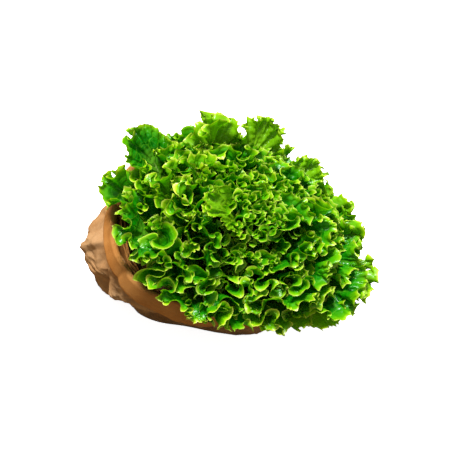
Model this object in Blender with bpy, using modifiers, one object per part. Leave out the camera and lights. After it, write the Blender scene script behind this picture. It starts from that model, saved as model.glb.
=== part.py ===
"""A head of green leaf lettuce standing in a kraft paper bag whose top is folded down.

Units are metres, +Z is up, and the origin is on the floor under the middle of the bag.
The bag is one folded sheet. The head is one plant: frilled leaves on a short core, over a pale cut stem.
"""

import math

import bmesh
import bpy
import numpy as np

# The bag
BAG_HALF_LENGTH = 0.108
BAG_HALF_DEPTH = 0.062
BASE_SQUARENESS = 4.0
RIM_RADIUS = 0.103
RIM_HEIGHT = 0.105
RIM_FLAT_DEPTH = 0.011
RIM_FLAT_BEARING = math.radians(-75)
RIM_FLAT_SPREAD = 0.45
PAPER_THICKNESS = 0.0012
FOLD_RADIUS = 0.0024
CUFF_DROP = 0.032
CUFF_FLARE = 0.003
WALL_BULGE = 0.004
# The wall is pushed out at one end: bearing, height, how far, and how wide it is round and up the bag
PUSHED_BEARING = math.radians(194)
PUSHED_HEIGHT = 0.050
PUSHED_OUT = 0.009
PUSHED_SPREAD = 0.30
PUSHED_RISE = 0.028
CRUMPLE = 0.0026
BAG_COLUMNS = 52
WALL_ROWS = 7

# The head
STEM_BOTTOM = PAPER_THICKNESS + 0.0003
STEM_RADIUS = 0.017
STEM_TOP = 0.016
CORE_BOTTOM = STEM_TOP + 0.0003
CORE_PROFILE = (
    (0.000, CORE_BOTTOM), (0.015, CORE_BOTTOM), (0.030, 0.034), (0.054, 0.062), (0.070, 0.090),
    (0.077, 0.110), (0.072, 0.124), (0.056, 0.137), (0.031, 0.145), (0.000, 0.148),
)
CORE_SIDES = 14
ROOT_RADIUS = 0.010
ROOT_HEIGHT = 0.024
HEAD_LEAN = (0.026, -0.015)
LEAN_HEIGHT = 0.180
LEAN_POWER = 1.2
BLADE_THICKNESS = 0.0009
BLADE_CLEARANCE = 0.010
SLIVER = 0.00001
GOLDEN_ANGLE = math.radians(137.508)
SEED = 40

# The outermost leaves stand out of the head: where each tip is, its half width, and how far its blade bends
# over, in degrees. A blade takes START_SHARE of the bend below its mean slope, and the rest above it
STANDING_LEAVES = (
    (-0.112, 0.066, 0.150, 0.042, 35),
    (-0.126, 0.008, 0.128, 0.038, 50),
    (0.030, 0.114, 0.172, 0.044, 20),
    (0.132, 0.040, 0.150, 0.044, 35),
    (0.171, -0.030, 0.130, 0.046, 50),
    (0.116, -0.092, 0.116, 0.044, 55),
    (-0.030, -0.116, 0.124, 0.044, 50),
)
START_SHARE = 0.4
# Each ring of leaves inside them, outermost first: how many, length, half width, and how far from upright
# a leaf starts and ends, in degrees
RINGS = (
    {"count": 6, "length": 0.170, "half_width": 0.058, "start": 33, "end": 60},
    {"count": 5, "length": 0.172, "half_width": 0.054, "start": 24, "end": 46},
    {"count": 4, "length": 0.172, "half_width": 0.049, "start": 15, "end": 33},
    {"count": 3, "length": 0.170, "half_width": 0.043, "start": 8, "end": 20},
    {"count": 3, "length": 0.158, "half_width": 0.038, "start": 3, "end": 14},
)
# The head is fuller towards LONG_BEARING and away from it, and at its back
LONG_BEARING = math.radians(-25)
LONG_BOTH_WAYS = 0.040
LONG_BACK = 0.038
LONG_FAR_SIDE = 0.030

# The two coarse waves of a margin. reach is the power of the depth into the blade at which a wave dies away
WAVES = (
    {"length": 0.065, "height": 0.0140, "reach": 1.5, "wander": 0.9},
    {"length": 0.023, "height": 0.0070, "reach": 2.2, "wander": 1.0},
)
WAVE_OVERHANG = 0.30
WAVE_BEND = 1.6
MARGIN_STEP = 0.00107
KEEP_EVERY = 7
HIDDEN_PLACE = 0.72
HIDDEN_DENSITY = 0.20
ROW_DEPTHS = (0.0, 0.2, 0.4, 0.6, 0.72, 0.82, 0.90, 0.96, 1.0)
ROWS_KEPT = (0, 3, 8)
COLUMN_SHARES = (4, 2, 1)


def clear_scene():
    for thing in list(bpy.data.objects):
        bpy.data.objects.remove(thing)


def new_collection(name):
    made = bpy.data.collections.new(name)
    bpy.context.scene.collection.children.link(made)
    return made


def paint(thing, name, colour, roughness):
    finish = bpy.data.materials.new(name)
    finish.use_nodes = True
    shader = finish.node_tree.nodes["Principled BSDF"]
    shader.inputs["Base Color"].default_value = (*colour, 1.0)
    shader.inputs["Roughness"].default_value = roughness
    shader.inputs["Metallic"].default_value = 0.0
    thing.data.materials.clear()
    thing.data.materials.append(finish)


def object_from(name, work, collection):
    """A named object that holds what was modelled in the bmesh work."""
    mesh = bpy.data.meshes.new(name)
    work.to_mesh(mesh)
    work.free()
    thing = bpy.data.objects.new(name, mesh)
    collection.objects.link(thing)
    return thing


def thicken(thing, thickness, offset):
    shell = thing.modifiers.new("thickness", "SOLIDIFY")
    shell.thickness = thickness
    shell.offset = offset
    return shell


def smooth_step(x):
    x = np.clip(x, 0.0, 1.0)
    return x * x * (3 - 2 * x)


def bag_radius(bearing, rise):
    """How far the bag's outside is from its axis. rise is 0 at the floor and 1 at the rim."""
    opened = smooth_step(rise)
    length = BAG_HALF_LENGTH + (RIM_RADIUS - BAG_HALF_LENGTH) * opened
    depth = BAG_HALF_DEPTH + (RIM_RADIUS - BAG_HALF_DEPTH) * opened
    power = BASE_SQUARENESS + (2 - BASE_SQUARENESS) * opened
    ends = np.abs(np.cos(bearing) / length) ** power
    sides = np.abs(np.sin(bearing) / depth) ** power
    from_flat = (bearing - RIM_FLAT_BEARING + math.pi) % math.tau - math.pi
    pressed = RIM_FLAT_DEPTH * opened * np.exp(-(from_flat / RIM_FLAT_SPREAD) ** 2)
    return (ends + sides) ** (-1 / power) - pressed


def pushed_out(bearing, height):
    """How far the wall, and the cuff over it, are pushed out of the smooth bag."""
    apart = (bearing - PUSHED_BEARING + math.pi) % math.tau - math.pi
    return PUSHED_OUT * math.exp(-(apart / PUSHED_SPREAD) ** 2 - ((height - PUSHED_HEIGHT) / PUSHED_RISE) ** 2)


def bag_rows():
    """The sheet's rows from the middle of the floor to the cuff's hem.

    Each is how far out towards the wall it lies, how far outside the wall, its height and its crumple."""
    rows = [(0.45, 0.0, 0.0, 0.0), (0.90, 0.0, 0.0, 0.0), (0.985, 0.0, 0.0015, 0.0)]
    for step in np.linspace(0, 1, WALL_ROWS):
        height = 0.008 + (RIM_HEIGHT - FOLD_RADIUS - 0.008) * step
        bulge = WALL_BULGE * math.sin(0.25 + (math.pi - 0.25) * step)
        loose = 0 < step and height < RIM_HEIGHT - CUFF_DROP
        rows.append((1.0, bulge, height, 1.0 if loose else 0.12))
    for turn in np.radians((50, 90, 130)):
        out = FOLD_RADIUS * (1 - math.cos(turn))
        rows.append((1.0, out, RIM_HEIGHT - FOLD_RADIUS + FOLD_RADIUS * math.sin(turn), 0.12))
    for step in (0.0, 0.35, 0.7, 1.0):
        height = RIM_HEIGHT - FOLD_RADIUS - (CUFF_DROP - FOLD_RADIUS) * step
        rows.append((1.0, 2 * FOLD_RADIUS + CUFF_FLARE * step, height, 0.12 + 0.25 * step))
    return rows


def make_bag(collection):
    """Kraft paper: a flat floor, a wall that opens from a box to a ring, and a cuff turned down outside."""
    dice = np.random.RandomState(SEED)
    work = bmesh.new()
    middle = work.verts.new((0, 0, 0))
    rings = []
    for share, out, height, crumple in bag_rows():
        ring = []
        for column in range(BAG_COLUMNS):
            bearing = math.tau * column / BAG_COLUMNS
            radius = share * bag_radius(bearing, height / RIM_HEIGHT) + out
            radius += pushed_out(bearing, height) if height > 0.005 else 0.0
            radius += CRUMPLE * crumple * dice.uniform(-1, 1)
            lift = 0.7 * CRUMPLE * crumple * dice.uniform(-1, 1) if height > 0.01 else 0.0
            ring.append(work.verts.new((radius * math.cos(bearing), radius * math.sin(bearing), height + lift)))
        rings.append(ring)
    for column in range(BAG_COLUMNS):
        following = (column + 1) % BAG_COLUMNS
        work.faces.new((middle, rings[0][following], rings[0][column]))
        for inner, outer in zip(rings, rings[1:]):
            work.faces.new((inner[column], inner[following], outer[following], outer[column]))
    bmesh.ops.triangulate(work, faces=[face for face in work.faces if len(face.verts) > 3])
    bag = object_from("paper_bag", work, collection)
    thicken(bag, PAPER_THICKNESS, -1)
    paint(bag, "kraft_paper", (0.47, 0.26, 0.11), 0.85)


def fullness(bearing):
    """How much longer than its ring's length a leaf is for where it stands."""
    turn = bearing - LONG_BEARING
    return LONG_BOTH_WAYS * math.cos(2 * turn) + LONG_BACK * math.sin(turn) - LONG_FAR_SIDE * math.cos(turn)


def standing_plans():
    """Leaves aimed at the tips in STANDING_LEAVES, before the head leans."""
    plans = []
    for x, y, z, half_width, bend in STANDING_LEAVES:
        dice = np.random.RandomState(SEED + len(plans))
        lean_x, lean_y = head_lean(z)
        x, y, bend = x - lean_x, y - lean_y, math.radians(bend)
        run, rise = math.hypot(x, y) - ROOT_RADIUS, z - ROOT_HEIGHT
        slope = math.atan2(run, rise)
        plans.append({
            "bearing": math.atan2(y, x),
            "length": math.hypot(run, rise) * (1 + bend ** 2 / 24),
            "half_width": half_width,
            "start": slope - START_SHARE * bend,
            "end": slope + (1 - START_SHARE) * bend,
            "turn": 0.0,
            "phases": dice.uniform(0, math.tau, 16),
        })
    return plans


def leaf_plans():
    """What sets each leaf apart, from the outermost to the heart."""
    plans = standing_plans()
    for level, ring in enumerate(RINGS, start=1):
        for _ in range(ring["count"]):
            dice = np.random.RandomState(SEED + len(plans))
            bearing = len(plans) * GOLDEN_ANGLE + math.radians(dice.uniform(-8, 8))
            extra = fullness(bearing) * (1.0 if level < 3 else 0.5)
            plans.append({
                "bearing": bearing,
                "length": ring["length"] * (1 + extra + dice.uniform(-0.05, 0.05)),
                "half_width": ring["half_width"] * dice.uniform(0.93, 1.07),
                "start": math.radians(ring["start"] + dice.uniform(-3, 3)),
                "end": math.radians(ring["end"] + dice.uniform(-6, 6)),
                "turn": dice.uniform(-0.25, 0.25),
                "phases": dice.uniform(0, math.tau, 16),
            })
    return plans


def blade_outline(plan, place):
    """Margin points of the flat blade, and where their veins leave the midrib.

    place runs from -1 at one side of the root, over 0 at the tip, to 1 at the other side."""
    along = 0.5 + 0.5 * np.cos(math.pi * np.abs(place))
    across = np.sin(math.pi * np.abs(place)) ** 0.8 * (0.42 + 0.66 * along) + 0.10
    across = np.where(np.abs(place) < 1e-9, 0.0, across * smooth_step(np.abs(place) / 0.16))
    return np.sign(place) * plan["half_width"] * across, plan["length"] * along, plan["length"] * 0.76 * along


def margin_length(across, along):
    """Length of the flat margin from the root to each of its points."""
    return np.concatenate([[0], np.cumsum(np.hypot(np.diff(across), np.diff(along)))])


def margin_places(plan):
    """Places that are evenly spaced along the margin, and sparse near the root, where leaves hide it."""
    even = np.linspace(-1, 1, 4001)
    across, along, _ = blade_outline(plan, even)
    density = np.where(np.abs(even) > HIDDEN_PLACE, HIDDEN_DENSITY, 1.0)
    steps = np.diff(margin_length(across, along)) * (density[1:] + density[:-1]) / 2
    counted = np.concatenate([[0], np.cumsum(steps)])
    columns = 2 * KEEP_EVERY * round(counted[-1] / MARGIN_STEP / (2 * KEEP_EVERY)) + 1
    return np.interp(np.linspace(0, counted[-1], columns), counted, even)


def midrib(plan, along):
    """Distance out, height and slope from upright of the midrib, at each length from the root."""
    steps = np.linspace(0, 1, 41)
    slope = plan["start"] + (plan["end"] - plan["start"]) * steps ** 1.5
    each = plan["length"] / 40
    run = np.concatenate([[0], np.cumsum((np.sin(slope[1:]) + np.sin(slope[:-1])) / 2)]) * each
    rise = np.concatenate([[0], np.cumsum((np.cos(slope[1:]) + np.cos(slope[:-1])) / 2)]) * each
    share = along / plan["length"]
    out = ROOT_RADIUS + np.interp(share, steps, run)
    return out, ROOT_HEIGHT + np.interp(share, steps, rise), np.interp(share, steps, slope)


def cupped_sheet(plan, across, along):
    """The blade bent to its midrib and cupped round the head, before it is waved."""
    out, height, slope = midrib(plan, along)
    cup = 9.0 + 26.0 * (1 - along / plan["length"]) ** 2
    sideways = np.sin(cup * across) / cup
    inwards = (1 - np.cos(cup * across)) / cup
    return np.stack([out - np.cos(slope) * inwards, sideways, height + np.sin(slope) * inwards], axis=-1)


def sheet_directions(points):
    """Unit vectors along the margin and square to the sheet, at each point of the grid."""
    along_margin = np.gradient(points, axis=0)
    square = np.cross(along_margin, np.gradient(points, axis=1))
    square /= np.linalg.norm(square, axis=-1, keepdims=True) + 1e-12
    along_margin /= np.linalg.norm(along_margin, axis=-1, keepdims=True) + 1e-12
    return along_margin, square


def waved(points, arc, depth, wave, phases):
    """Folds the sheet in waves that grow from the midrib to the margin and lean over at their crests."""
    length, wander = wave["length"], wave["wander"]
    phase = math.tau * arc / length + phases[0] + wander * np.sin(arc / (0.55 * length) + phases[1])
    phase += 0.6 * wander * np.sin(arc / (0.9 * length) + phases[2])
    uneven = 0.66 + 0.30 * np.sin(arc / (0.43 * length) + phases[2])
    uneven += 0.26 * np.sin(arc / (1.3 * length) + phases[1])
    grow = depth ** wave["reach"]
    swerve = WAVE_BEND * np.sin(arc / (1.1 * length) + phases[0])
    phase = phase[:, None] + swerve[:, None] * (1 - np.sqrt(grow))
    tall = wave["height"] * uneven[:, None] * grow
    along_margin, square = sheet_directions(points)
    lift = tall * np.sin(phase)
    shift = -WAVE_OVERHANG * tall * np.sin(2 * phase)
    return points + square * lift[..., None] + along_margin * shift[..., None]


def held_clear(points):
    """Draws points in from the bag's wall and rim, so that the blades stay clear of the paper."""
    bearing = np.arctan2(points[..., 1], points[..., 0])
    radius = np.hypot(points[..., 0], points[..., 1])
    rise = np.clip(points[..., 2] / RIM_HEIGHT, 0, 1)
    over = np.maximum(points[..., 2] - RIM_HEIGHT - 0.004, 0)
    room = bag_radius(bearing, rise) - PAPER_THICKNESS - BLADE_CLEARANCE + 3.2 * over
    soft = 0.012
    held = np.where(radius > room - soft, room - soft * np.exp(-(radius - room + soft) / soft), radius)
    scale = held / np.maximum(radius, 1e-9)
    return points * np.stack([scale, scale, np.ones_like(scale)], axis=-1)


def head_lean(height):
    """How far the head leans in x and y at this height."""
    lean = (np.clip(height, 0, None) / LEAN_HEIGHT) ** LEAN_POWER
    return HEAD_LEAN[0] * lean, HEAD_LEAN[1] * lean


def placed(plan, points):
    """Turns a blade to its bearing and leans it with the head."""
    turn = plan["bearing"] + plan["turn"] * points[..., 2] / LEAN_HEIGHT
    x = points[..., 0] * np.cos(turn) - points[..., 1] * np.sin(turn)
    y = points[..., 0] * np.sin(turn) + points[..., 1] * np.cos(turn)
    lean_x, lean_y = head_lean(points[..., 2])
    return np.stack([x + lean_x, y + lean_y, points[..., 2]], axis=-1)


def shared_columns(count, share):
    """For each column, the one whose point it takes, so that an inner row has a point for each few columns."""
    tip = count // 2
    return np.clip(tip + share * np.round((np.arange(count) - tip) / share).astype(int), 0, count - 1)


def leaf_points(plan):
    """Grid of points over one blade: columns run along the margin, rows from the midrib out to it."""
    edge_across, edge_along, vein_root = blade_outline(plan, margin_places(plan))
    arc = margin_length(edge_across, edge_along)
    depth = np.array(ROW_DEPTHS)[None, :]
    across = edge_across[:, None] * depth
    along = vein_root[:, None] + (edge_along - vein_root)[:, None] * depth
    points = cupped_sheet(plan, across, along)
    for number, wave in enumerate(WAVES):
        points = waved(points, arc, depth, wave, plan["phases"][3 * number:3 * number + 3])
    points = held_clear(placed(plan, points))[::KEEP_EVERY, ROWS_KEPT]
    for row, share in enumerate(COLUMN_SHARES):
        points[:, row] = points[shared_columns(len(points), share), row]
    return points


def make_leaf(number, plan, collection):
    """One waved blade as a solid, its two faces split into triangles alike."""
    points = leaf_points(plan)
    columns, rows = points.shape[:2]
    work = bmesh.new()
    bmesh.ops.create_grid(work, x_segments=rows - 1, y_segments=columns - 1, size=1)
    work.verts.ensure_lookup_table()
    for index, vert in enumerate(work.verts):
        vert.co = points[index // rows, index % rows]
    bmesh.ops.remove_doubles(work, verts=work.verts, dist=1e-6)
    bmesh.ops.triangulate(work, faces=work.faces)
    leaf = object_from(f"leaf_{number:02d}", work, collection)
    thicken(leaf, BLADE_THICKNESS, 0)


def make_core(collection):
    """The short stalk that the leaves grow from, hidden at the heart of the head."""
    work = bmesh.new()
    corners = [work.verts.new((radius, 0, height)) for radius, height in CORE_PROFILE]
    edges = [work.edges.new(pair) for pair in zip(corners, corners[1:])]
    bmesh.ops.spin(work, geom=corners + edges, axis=(0, 0, 1), cent=(0, 0, 0), steps=CORE_SIDES, angle=math.tau)
    bmesh.ops.remove_doubles(work, verts=work.verts, dist=1e-5)
    bmesh.ops.recalc_face_normals(work, faces=work.faces)
    for vert in work.verts:
        lean_x, lean_y = head_lean(vert.co.z)
        vert.co.x += lean_x
        vert.co.y += lean_y
    return object_from("lettuce_leaves", work, collection)


def keep_one_body(mesh):
    """Keeps the largest island of faces, which fills hollows sealed by the joining and drops loose scraps."""
    work = bmesh.new()
    work.from_mesh(mesh)
    bmesh.ops.dissolve_degenerate(work, dist=SLIVER, edges=work.edges)
    bmesh.ops.triangulate(work, faces=work.faces)
    waiting = set(work.faces)
    islands = []
    while waiting:
        frontier = [waiting.pop()]
        island = list(frontier)
        while frontier:
            face = frontier.pop()
            plain_edges = [edge for edge in face.edges if len(edge.link_faces) == 2]
            for near in {other for edge in plain_edges for other in edge.link_faces} & waiting:
                waiting.remove(near)
                frontier.append(near)
                island.append(near)
        islands.append(island)
    islands.sort(key=len)
    for island in islands[:-1]:
        bmesh.ops.delete(work, geom=island, context="FACES")
    work.to_mesh(mesh)
    work.free()


def make_head(collection):
    """Every leaf joined to the core in one body."""
    leaves = new_collection("leaves to join")
    for number, plan in enumerate(leaf_plans()):
        make_leaf(number, plan, leaves)
    core = make_core(collection)
    join = core.modifiers.new("join", "BOOLEAN")
    join.operation = "UNION"
    join.operand_type = "COLLECTION"
    join.collection = leaves
    join.solver = "MANIFOLD"
    graph = bpy.context.evaluated_depsgraph_get()
    joined = bpy.data.meshes.new_from_object(core.evaluated_get(graph))
    keep_one_body(joined)
    core.modifiers.clear()
    core.data = joined
    for leaf in list(leaves.objects):
        bpy.data.objects.remove(leaf)
    bpy.data.collections.remove(leaves)
    paint(core, "lettuce_green", (0.11, 0.32, 0.02), 0.42)


def make_stem(collection):
    """The cut end of the stalk: pale, with a softened edge, standing on the bag's floor."""
    work = bmesh.new()
    bmesh.ops.create_cone(work, cap_ends=True, segments=20, radius1=STEM_RADIUS, radius2=STEM_RADIUS * 0.9,
                          depth=STEM_TOP - STEM_BOTTOM)
    bmesh.ops.translate(work, verts=work.verts, vec=(0, 0, (STEM_TOP + STEM_BOTTOM) / 2))
    stem = object_from("lettuce_stem", work, collection)
    soft = stem.modifiers.new("soft edge", "BEVEL")
    soft.width = 0.0012
    soft.segments = 2
    paint(stem, "pale_stem", (0.62, 0.66, 0.36), 0.5)


clear_scene()
parts = new_collection("green leaf lettuce in a paper bag")
make_bag(parts)
make_head(parts)
make_stem(parts)
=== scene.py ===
"""A head of green leaf lettuce in a kraft paper bag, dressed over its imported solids.

Metres, +Z up. The bag stands on its flat base, and the camera is tilted, as it was for the photograph.
"""

import math

import bmesh
import bpy
import numpy as np
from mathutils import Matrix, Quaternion, Vector, noise


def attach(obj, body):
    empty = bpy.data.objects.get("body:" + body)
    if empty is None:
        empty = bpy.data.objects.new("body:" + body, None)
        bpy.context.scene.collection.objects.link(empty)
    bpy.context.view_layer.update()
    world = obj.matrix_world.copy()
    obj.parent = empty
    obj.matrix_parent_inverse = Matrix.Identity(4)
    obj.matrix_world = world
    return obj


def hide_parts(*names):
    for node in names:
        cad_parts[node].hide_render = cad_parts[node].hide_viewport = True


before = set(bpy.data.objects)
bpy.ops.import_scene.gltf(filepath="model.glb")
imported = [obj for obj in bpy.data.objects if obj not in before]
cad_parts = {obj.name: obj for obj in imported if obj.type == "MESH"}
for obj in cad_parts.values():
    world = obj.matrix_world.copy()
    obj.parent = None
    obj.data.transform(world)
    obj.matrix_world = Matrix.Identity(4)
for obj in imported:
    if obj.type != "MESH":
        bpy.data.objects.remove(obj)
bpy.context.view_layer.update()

# The camera. It stands in front of the bag and to its left, looks down at the head, and is rolled over
# to one side, as the photograph is.
VIEW_AZIMUTH = math.radians(-25)
VIEW_ELEVATION = math.radians(54)
VIEW_ROLL = math.radians(35)
VIEW_DISTANCE = 1.19
VIEW_CENTRE = Vector((0.008, 0.0, 0.1135))
LENS_MM = 92
SENSOR_MM = 36

camera = bpy.data.objects.new("camera", bpy.data.cameras.new("camera"))
bpy.context.scene.collection.objects.link(camera)
camera.data.lens = LENS_MM
camera.data.sensor_width = SENSOR_MM
towards_camera = Vector((
    math.sin(VIEW_AZIMUTH) * math.cos(VIEW_ELEVATION),
    -math.cos(VIEW_AZIMUTH) * math.cos(VIEW_ELEVATION),
    math.sin(VIEW_ELEVATION),
))
camera.location = VIEW_CENTRE + towards_camera * VIEW_DISTANCE
camera.rotation_mode = "QUATERNION"
level = (-towards_camera).to_track_quat("-Z", "Y")
camera.rotation_quaternion = level @ Quaternion((0, 0, 1), VIEW_ROLL)
bpy.context.scene.camera = camera

# The floor: one large plain sheet of matt white card that the bag stands on. It stays plain white round
# the bag, and throws only a little warm light back up at the paper.
FLOOR_SIDE = 8.0
FLOOR_DROP = 0.0004
CARD_WHITE = (0.93, 0.93, 0.92, 1)
CARD_GLOW = 0.85
CARD_BOUNCE = (0.27, 0.19, 0.09, 1)
CARD_ROUGHNESS = 0.9
CARD_GRAIN_SCALE = 900
CARD_GRAIN_STRENGTH = 0.05


def with_inputs(node, values):
    """Sets inputs of a shader node by their names."""
    for name, value in values.items():
        node.inputs[name].default_value = value
    return node


def new_node(tree, kind, values):
    return with_inputs(tree.nodes.new(kind), values)


def join(tree, *links):
    """Links shader nodes. Each link is a node, its output, the next node, and its input."""
    for node, output, following, name in links:
        tree.links.new(node.outputs[output], following.inputs[name])


floor_work = bmesh.new()
bmesh.ops.create_grid(floor_work, x_segments=1, y_segments=1, size=FLOOR_SIDE / 2)
bmesh.ops.translate(floor_work, verts=floor_work.verts, vec=(0, 0, -FLOOR_DROP))
floor_mesh = bpy.data.meshes.new("floor")
floor_work.to_mesh(floor_mesh)
floor_work.free()
floor = bpy.data.objects.new("floor", floor_mesh)
bpy.context.scene.collection.objects.link(floor)
card = bpy.data.materials.new("white_card")
card.use_nodes = True
tree = card.node_tree
card_shader = with_inputs(tree.nodes["Principled BSDF"], {
    "Base Color": CARD_WHITE, "Roughness": CARD_ROUGHNESS,
    "Emission Color": (1, 1, 1, 1), "Emission Strength": CARD_GLOW,
})
card_bounce = new_node(tree, "ShaderNodeBsdfDiffuse", {"Color": CARD_BOUNCE})
card_rays = tree.nodes.new("ShaderNodeLightPath")
card_mix = tree.nodes.new("ShaderNodeMixShader")
card_grain = new_node(tree, "ShaderNodeTexNoise", {"Scale": CARD_GRAIN_SCALE})
card_relief = new_node(tree, "ShaderNodeBump", {"Strength": CARD_GRAIN_STRENGTH})
join(
    tree,
    (card_grain, "Fac", card_relief, "Height"), (card_relief, "Normal", card_shader, "Normal"),
    (card_rays, "Is Camera Ray", card_mix, "Fac"), (card_bounce, "BSDF", card_mix, 1),
    (card_shader, "BSDF", card_mix, 2), (card_mix, "Shader", tree.nodes["Material Output"], "Surface"),
)
floor.data.materials.append(card)

# The light: one large soft source above the head, from behind it and from its left, and a white surround
# that is brighter on that side.
KEY_TURN = (math.radians(-17), math.radians(-27), 0)
KEY_STRENGTH = 9.0
KEY_SOFTNESS = math.radians(18)
SURROUND_TOWARDS = (-0.35, 0.10, 0.93)
SURROUND_REACH = (-0.5, 0.9)
SURROUND_STRENGTH = (0.05, 0.52)

key = bpy.data.objects.new("key_light", bpy.data.lights.new("key_light", "SUN"))
key.data.energy = KEY_STRENGTH
key.data.angle = KEY_SOFTNESS
key.rotation_euler = KEY_TURN
bpy.context.scene.collection.objects.link(key)
surround = bpy.data.worlds.new("surround")
surround.use_nodes = True
tree = surround.node_tree
background = with_inputs(tree.nodes["Background"], {"Color": (1, 1, 1, 1)})
surround_place = tree.nodes.new("ShaderNodeTexCoord")
surround_side = new_node(tree, "ShaderNodeVectorMath", {1: SURROUND_TOWARDS})
surround_side.operation = "DOT_PRODUCT"
surround_fade = new_node(tree, "ShaderNodeMapRange", {
    "From Min": SURROUND_REACH[0], "From Max": SURROUND_REACH[1],
    "To Min": SURROUND_STRENGTH[0], "To Max": SURROUND_STRENGTH[1],
})
join(
    tree,
    (surround_place, "Generated", surround_side, 0), (surround_side, "Value", surround_fade, "Value"),
    (surround_fade, "Result", background, "Strength"),
)
bpy.context.scene.world = surround
bpy.context.scene.view_settings.view_transform = "Standard"

# The bag's wall: one sheet of brown kraft paper, glued round, that rises from a flat oblong floor and opens
# to a round mouth. It has been handled, so it is flat facets between creases, with its corners folded.
BAG_HALF_LENGTH = 0.102
BAG_HALF_DEPTH = 0.062
BASE_SQUARENESS = 4.0
RIM_RADIUS = 0.103
RIM_HEIGHT = 0.105
RIM_FLAT_DEPTH = 0.016
RIM_FLAT_BEARING = math.radians(-75)
RIM_FLAT_SPREAD = 0.45
WALL_BULGE = 0.004
BULGE_START = 0.25
PAPER = 0.0006
BAG_SEED = 11
# How the whole bag has settled: bearing in degrees, how far it is moved there, how wide that is, the height
# that it is strongest at, and its spread up the wall
PUSHES = (
    (190, 0.0180, 18, 0.048, 0.026), (218, -0.0120, 12, 0.000, 0.022), (216, 0.0040, 24, 0.105, 0.040),
    (250, 0.0030, 18, 0.000, 0.030), (60, 0.0040, 20, 0.050, 0.030), (335, 0.0050, 18, 0.045, 0.028),
)
PUSHED_FROM_RADIUS = 0.02
RIM_DIPS = ((214, 0.0085, 24), (290, -0.0030, 20), (60, 0.0030, 30))
# The facets: how many go round, and the height of each row of corners and how freely it moves
WALL_COLUMNS = 26
WALL_HEIGHTS = (0.0006, 0.004, 0.022, 0.042, 0.062, 0.082, 0.0995)
WALL_FREEDOM = (0, 0.1, 1, 1, 1, 0.25, 0.1)
FACET_JITTER = 0.0046
FACET_RISE = 0.006
FACET_SLIDE = 0.34
# How far new corners move each time that the facets are split, and how high the glued foot holds them
CRUMPLE_STEPS = (0.0021, 0.0015, 0.0008, 0.0003)
CRUMPLE_RISE = 0.5
CRUMPLE_FOOT = (0.002, 0.01)
# Creases that show from the front: bearing in degrees and height of both ends, depth (minus for a ridge)
# and width
CREASES = (
    (181, 0.004, 187, 0.074, 0.0045, 0.005), (204, 0.078, 222, 0.012, 0.0075, 0.0035),
    (222, 0.012, 199, 0.046, -0.0035, 0.004), (197, 0.078, 191, 0.022, 0.0030, 0.003),
    (233, 0.072, 215, 0.030, -0.0035, 0.004), (247, 0.006, 228, 0.052, 0.0040, 0.004),
    (170, 0.074, 189, 0.032, -0.0030, 0.006), (208, 0.006, 196, 0.030, 0.0035, 0.005),
    (262, 0.060, 241, 0.020, 0.0035, 0.007), (176, 0.030, 165, 0.070, 0.0030, 0.006),
)
CREASE_ENDS = (0.04, 0.96)
# The creases elsewhere, and the ranges of their bearings, feet, swings, rises, depths and widths
CREASES_ELSEWHERE = 34
CREASE_BEARING = (-90, 155)
CREASE_FOOT = (0.004, 0.05)
CREASE_SWING = (-22, 22)
CREASE_RISE = (0.015, 0.05)
CREASE_DEPTH = (0.0015, 0.004)
CREASE_WIDTH = (0.004, 0.007)
# The fine straight creases that cross: how many sets, how far apart their lines are, how steep they are,
# and the size of the patches that they come in
CRINKLE_SETS = 14
CRINKLE_LENGTHS = (0.010, 0.034)
CRINKLE_SLOPE = 0.125
CRINKLE_PATCHES = ((0.012, 0.03), (0.015, 0.04))
# Creases fade out at the glued foot, under the cuff, and at the seam, which is at +X
FOOT_FADE = (0.001, 0.008)
CREASES_UNDER = (0.084, 0.012)
CRINKLES_UNDER = (0.088, 0.010)
SEAM_FADE = 0.1
# Bearings become distances round the wall at this radius
WALL_RADIUS = 0.1


def smooth_step(x):
    x = np.clip(x, 0.0, 1.0)
    return x * x * (3 - 2 * x)


def bag_radius(bearing, rise):
    """How far the smooth bag's outside is from its axis. rise is 0 at the floor and 1 at the rim."""
    opened = smooth_step(rise)
    length = BAG_HALF_LENGTH + (RIM_RADIUS - BAG_HALF_LENGTH) * opened
    depth = BAG_HALF_DEPTH + (RIM_RADIUS - BAG_HALF_DEPTH) * opened
    power = BASE_SQUARENESS + (2 - BASE_SQUARENESS) * opened
    ends = np.abs(np.cos(bearing) / length) ** power
    sides = np.abs(np.sin(bearing) / depth) ** power
    from_flat = (bearing - RIM_FLAT_BEARING + math.pi) % math.tau - math.pi
    pressed = RIM_FLAT_DEPTH * opened * np.exp(-(from_flat / RIM_FLAT_SPREAD) ** 2)
    return (ends + sides) ** (-1 / power) - pressed


def settled(points):
    """Moves points of the smooth bag to where its paper has been pushed in, out and down."""
    bearing = np.degrees(np.arctan2(points[:, 1], points[:, 0]))
    radius = np.hypot(points[:, 0], points[:, 1])
    height = points[:, 2].copy()
    moved = np.zeros(len(points))
    for middle, push, width, level, rise in PUSHES:
        apart = (bearing - middle + 180) % 360 - 180
        moved += push * np.exp(-(apart / width) ** 2 - ((height - level) / rise) ** 2)
    for middle, drop, width in RIM_DIPS:
        apart = (bearing - middle + 180) % 360 - 180
        height -= drop * np.exp(-(apart / width) ** 2) * np.clip(points[:, 2] / RIM_HEIGHT, 0, 1) ** 2
    scale = (radius + moved) / np.maximum(radius, PUSHED_FROM_RADIUS)
    scale = np.where(radius < PUSHED_FROM_RADIUS, 1, scale)
    return np.stack([points[:, 0] * scale, points[:, 1] * scale, height], axis=1)


def wall_points(bearing, height, out):
    rise = np.clip(height / RIM_HEIGHT, 0, 1)
    bulge = WALL_BULGE * np.sin(BULGE_START + (math.pi - BULGE_START) * rise)
    radius = bag_radius(bearing, rise) + bulge + out
    return np.stack([radius * np.cos(bearing), radius * np.sin(bearing), height], axis=-1)


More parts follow.
